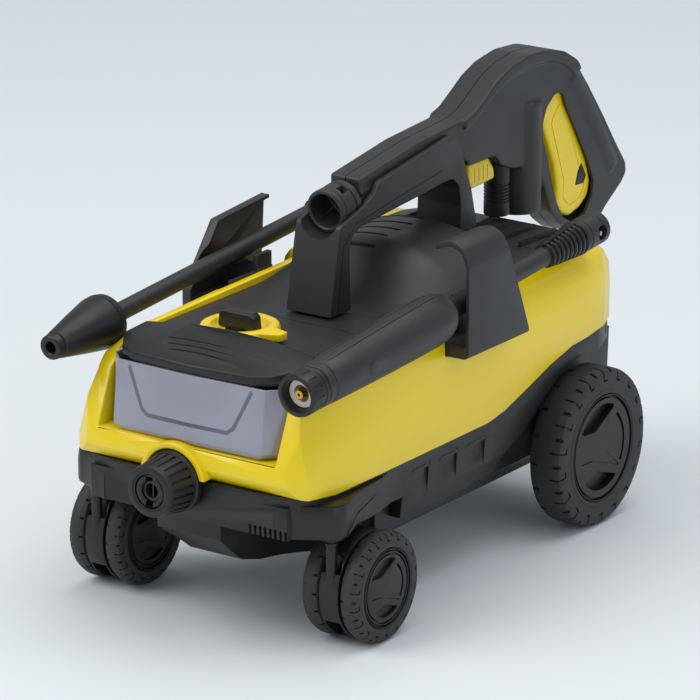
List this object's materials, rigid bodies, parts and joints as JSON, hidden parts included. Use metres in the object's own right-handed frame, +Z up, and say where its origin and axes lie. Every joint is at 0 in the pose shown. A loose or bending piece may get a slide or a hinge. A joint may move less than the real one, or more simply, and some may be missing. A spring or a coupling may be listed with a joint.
{
  "type": "pressure washer",
  "caption": "Compact electric pressure washer on swivelling twin casters and fixed rear wheels, with carry handle, trigger gun and clipped-on spray lances.",
  "frame": {"origin": "floor level, at the centre of the footprint", "axes": "+Z up, front (tank and outlet) towards -Y, the machine's visible side towards +X"},
  "size_m": [0.294, 0.6834, 0.3895],
  "materials": {
    "yellow_plastic": "satin moulded, bright yellow",
    "grey_plastic": "fine-grained moulded, dark grey",
    "black_plastic": "fine-grained moulded, black",
    "tyre_plastic": "dull moulded tread, off-black",
    "smoked_plastic": "glossy, grey-violet, slightly see-through",
    "steel": "bright drawn rod",
    "motor_metal": "stands in for windings, core and case as one lump",
    "brass": "machined",
    "cast_aluminium": "as cast"
  },
  "bodies": {
    "machine": {"chassis": "black_plastic", "body_shell": "yellow_plastic", "top_cover": "grey_plastic", "carry_handle": "grey_plastic", "holder_right": "grey_plastic", "holder_left": "grey_plastic", "rear_axle": "steel", "switch_box": "black_plastic", "motor": "motor_metal", "pump_head": "cast_aluminium", "outlet_socket": "black_plastic", "water_inlet": "black_plastic", "cord_gland": "black_plastic"},
    "rear_wheel_right": {"rear_right_tyre": "tyre_plastic", "rear_right_hub": "black_plastic"},
    "rear_wheel_left": {"rear_left_tyre": "tyre_plastic", "rear_left_hub": "black_plastic"},
    "caster_right": {"caster_right_fork": "black_plastic", "caster_right_axle": "steel"},
    "caster_right_outer_wheel": {"caster_right_outer_tyre": "tyre_plastic", "caster_right_outer_hub": "black_plastic"},
    "caster_right_inner_wheel": {"caster_right_inner_tyre": "tyre_plastic", "caster_right_inner_hub": "black_plastic"},
    "caster_left": {"caster_left_fork": "black_plastic", "caster_left_axle": "steel"},
    "caster_left_outer_wheel": {"caster_left_outer_tyre": "tyre_plastic", "caster_left_outer_hub": "black_plastic"},
    "caster_left_inner_wheel": {"caster_left_inner_tyre": "tyre_plastic", "caster_left_inner_hub": "black_plastic"},
    "tank": {"detergent_tank": "smoked_plastic"},
    "lid": {"tank_lid": "black_plastic"},
    "switch": {"switch_ring": "yellow_plastic", "switch_knob": "black_plastic"},
    "outlet_ring": {"outlet_collar": "black_plastic"},
    "gun": {"gun_shell_right": "grey_plastic", "gun_shell_left": "grey_plastic", "trigger_pin": "steel", "gun_muzzle": "grey_plastic", "gun_valve": "brass", "gun_socket": "black_plastic"},
    "trigger": {"trigger": "yellow_plastic"},
    "trigger_lock": {"trigger_lock": "grey_plastic"},
    "hose_clip": {"hose_clip": "yellow_plastic"},
    "lance_right": {"lance_right_body": "grey_plastic", "lance_right_nozzle": "brass", "lance_right_tube": "grey_plastic", "lance_right_grip": "black_plastic", "lance_right_bayonet": "grey_plastic"},
    "lance_left": {"lance_left_cone": "black_plastic", "lance_left_tube": "grey_plastic", "lance_left_grip": "black_plastic", "lance_left_bayonet": "grey_plastic"},
    "lance_nose": {"lance_right_collar": "black_plastic"},
    "rotor": {"lance_left_rotor": "brass"}
  },
  "joints": [
    {"name": "rear_wheel_right_spin", "type": "hinge", "parent": "machine", "child": "rear_wheel_right", "pos_m": [0, 0.11355, 0.07], "axis": [1, 0, 0], "continuous": true},
    {"name": "rear_wheel_left_spin", "type": "hinge", "parent": "machine", "child": "rear_wheel_left", "pos_m": [0, 0.11355, 0.07], "axis": [1, 0, 0], "continuous": true},
    {"name": "caster_right_swivel", "type": "hinge", "parent": "machine", "child": "caster_right", "pos_m": [0.119, -0.26725, 0.07], "axis": [0, 0, 1], "continuous": true},
    {"name": "caster_right_outer_spin", "type": "hinge", "parent": "caster_right", "child": "caster_right_outer_wheel", "pos_m": [0.119, -0.22705, 0.0468], "axis": [1, 0, 0], "continuous": true},
    {"name": "caster_right_inner_spin", "type": "hinge", "parent": "caster_right", "child": "caster_right_inner_wheel", "pos_m": [0.119, -0.22705, 0.0468], "axis": [1, 0, 0], "continuous": true},
    {"name": "caster_left_swivel", "type": "hinge", "parent": "machine", "child": "caster_left", "pos_m": [-0.119, -0.26725, 0.07], "axis": [0, 0, 1], "continuous": true},
    {"name": "caster_left_outer_spin", "type": "hinge", "parent": "caster_left", "child": "caster_left_outer_wheel", "pos_m": [-0.119, -0.22705, 0.0468], "axis": [1, 0, 0], "continuous": true},
    {"name": "caster_left_inner_spin", "type": "hinge", "parent": "caster_left", "child": "caster_left_inner_wheel", "pos_m": [-0.119, -0.22705, 0.0468], "axis": [1, 0, 0], "continuous": true},
    {"name": "tank_slide", "type": "slide", "parent": "machine", "child": "tank", "axis": [0, -1, 0], "range_m": [0, 0.1]},
    {"name": "lid_hinge", "type": "hinge", "parent": "tank", "child": "lid", "pos_m": [0, -0.23775, 0.24], "axis": [-1, 0, 0], "range_deg": [0, 95]},
    {"name": "switch_turn", "type": "hinge", "parent": "machine", "child": "switch", "pos_m": [-0.018, -0.20275, 0.233], "axis": [0, 0, 1], "range_deg": [0, 90]},
    {"name": "outlet_ring_turn", "type": "hinge", "parent": "machine", "child": "outlet_ring", "pos_m": [-0.008, -0.34175, 0.131], "axis": [0, 1, 0], "range_deg": [0, 60]},
    {"name": "gun_lift", "type": "slide", "parent": "machine", "child": "gun", "axis": [0, 0, 1], "range_m": [0, 0.2]},
    {"name": "trigger_pull", "type": "hinge", "parent": "gun", "child": "trigger", "pos_m": [0, 0.22225, 0.348], "axis": [1, 0, 0], "range_deg": [0, 6], "stiffness_Nm_per_rad": 2, "springref_deg": -5.73},
    {"name": "lock_slide", "type": "slide", "parent": "trigger", "child": "trigger_lock", "axis": [-1, 0, 0], "range_m": [0, 0.004]},
    {"name": "hose_clip_slide", "type": "slide", "parent": "gun", "child": "hose_clip", "axis": [0, -1, 0], "range_m": [0, 0.008], "stiffness_N_per_m": 400, "springref_m": -0.002},
    {"name": "lance_right_pull", "type": "slide", "parent": "machine", "child": "lance_right", "axis": [0, -0.9971, -0.0767], "range_m": [0, 0.46]},
    {"name": "lance_left_pull", "type": "slide", "parent": "machine", "child": "lance_left", "axis": [0, -0.9971, -0.0767], "range_m": [0, 0.46]},
    {"name": "nose_turn", "type": "hinge", "parent": "lance_right", "child": "lance_nose", "pos_m": [0.119, -0.31575, 0.22858], "axis": [0, 0.9971, 0.0767], "range_deg": [0, 180]},
    {"name": "rotor_spin", "type": "hinge", "parent": "lance_left", "child": "rotor", "pos_m": [-0.119, -0.32575, 0.22781], "axis": [0, 0.9971, 0.0767], "continuous": true}
  ]
}
